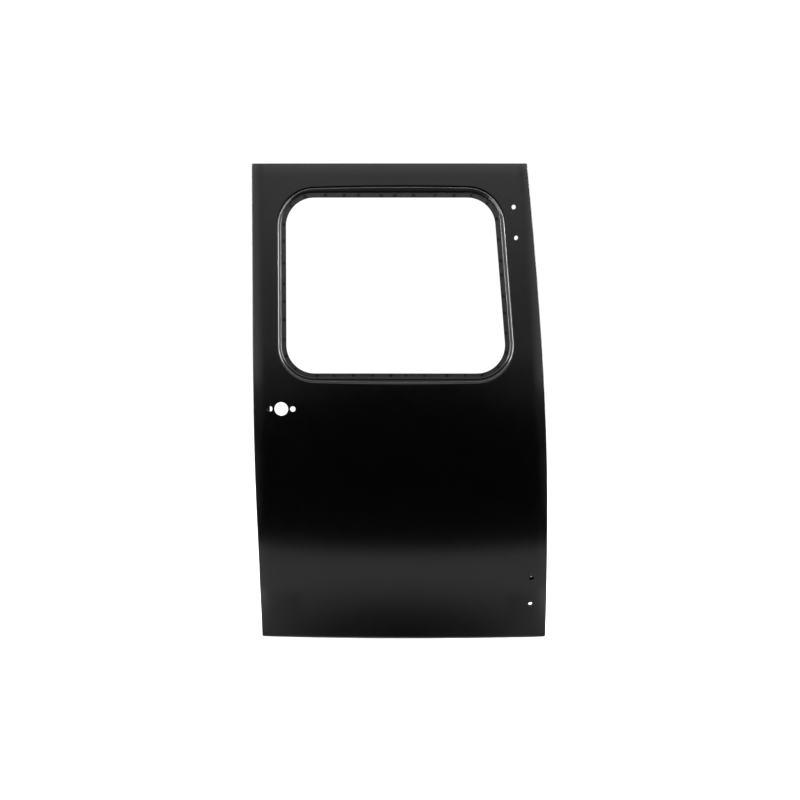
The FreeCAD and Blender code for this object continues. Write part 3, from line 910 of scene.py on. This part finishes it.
for hand, side in (("left", -1), ("right", 1)):
    edge = CROWN_X + side * wide
    wall_start = CROWN_X + side * WALL_SIDE_START
    tone_card(f"{hand}_wall_card", upright(wall_start, edge, low, CARD_TOP, WALL_SIDE_Y),
              (CROWN_X, 0, 0), (wide, 0, 0), WALL_SIDE_TONES)
    for (zone, start, tones), near, far in zip(SIDE_ZONES, SIDE_LIMITS, SIDE_LIMITS[1:]):
        tone_card(f"{hand}_{zone}_card", ground(CROWN_X + side * start, edge, far, near, 3),
                  (CROWN_X, 0, 0), (SIDE_REACH, 0, 0), tones)

BEHIND_REACH = Vector((0.5, 0.9, 0))
BEHIND_TONES = [(0.0, 0.2), (1.0, 0.2)]
behind = ground(CROWN_X - BEHIND_REACH.x, CROWN_X + BEHIND_REACH.x, CARD_NEAR, BEHIND_REACH.y, 1)
tone_card("behind_card", behind, (CROWN_X, 0, 0), BEHIND_REACH, BEHIND_TONES)

CEILING_Z = 3.4
CEILING_FAR = -7.0
CEILING_NEAR = 5.0
CEILING_TONES = [(0.0, 0.4), (0.5, 0.4), (0.68, 1.0), (0.74, 2.6), (0.93, 2.6), (1.0, 1.2)]
tone_card("ceiling_card", level(-wide, wide, CEILING_FAR, CEILING_NEAR, CEILING_Z),
          (0, CEILING_NEAR, 0), (0, CEILING_NEAR - CEILING_FAR, 0), CEILING_TONES)
print("floor and reflection cards")

# %% Lamps
WORLD_LIGHT = 1.06
STRIP_PLACES = {"left_strip": (-2.4, -0.15, 0.8), "right_strip": (1.9, -0.15, 0.8)}
STRIP_WIDTH = 0.4
STRIP_HEIGHT = 1.8
STRIP_WATTS = 155
DOOR_MIDDLE = Vector((CROWN_X, WAIST_Y, 0.45))
world = bpy.data.worlds.new("white_room")
world.use_nodes = True
backdrop = world.node_tree.nodes["Background"]
backdrop.inputs["Color"].default_value = (1, 1, 1, 1)
backdrop.inputs["Strength"].default_value = WORLD_LIGHT
bpy.context.scene.world = world
for name, place in STRIP_PLACES.items():
    lamp = bpy.data.lights.new(name, "AREA")
    lamp.shape = "RECTANGLE"
    lamp.size = STRIP_WIDTH
    lamp.size_y = STRIP_HEIGHT
    lamp.energy = STRIP_WATTS
    stand = bpy.data.objects.new(name, lamp)
    stand.location = place
    stand.rotation_euler = (DOOR_MIDDLE - stand.location).to_track_quat("-Z", "Y").to_euler()
    bpy.context.scene.collection.objects.link(stand)
bpy.context.scene.view_settings.view_transform = "Standard"
print("white room with two strip lamps")

# %% Camera
CAMERA_PLACE = (-0.2340, -2.4018, 0.7352)
CAMERA_PITCH = math.radians(-8.91)
CAMERA_TURN = math.radians(0.24)
FOCAL_PIXELS = 1328
IMAGE_PIXELS = 800
camera_data = bpy.data.cameras.new("camera")
camera_data.sensor_fit = "HORIZONTAL"
camera_data.lens = camera_data.sensor_width * FOCAL_PIXELS / IMAGE_PIXELS
camera = bpy.data.objects.new("camera", camera_data)
camera.location = CAMERA_PLACE
camera.rotation_euler = (math.pi / 2 + CAMERA_PITCH, 0, CAMERA_TURN)
bpy.context.scene.collection.objects.link(camera)
bpy.context.scene.camera = camera
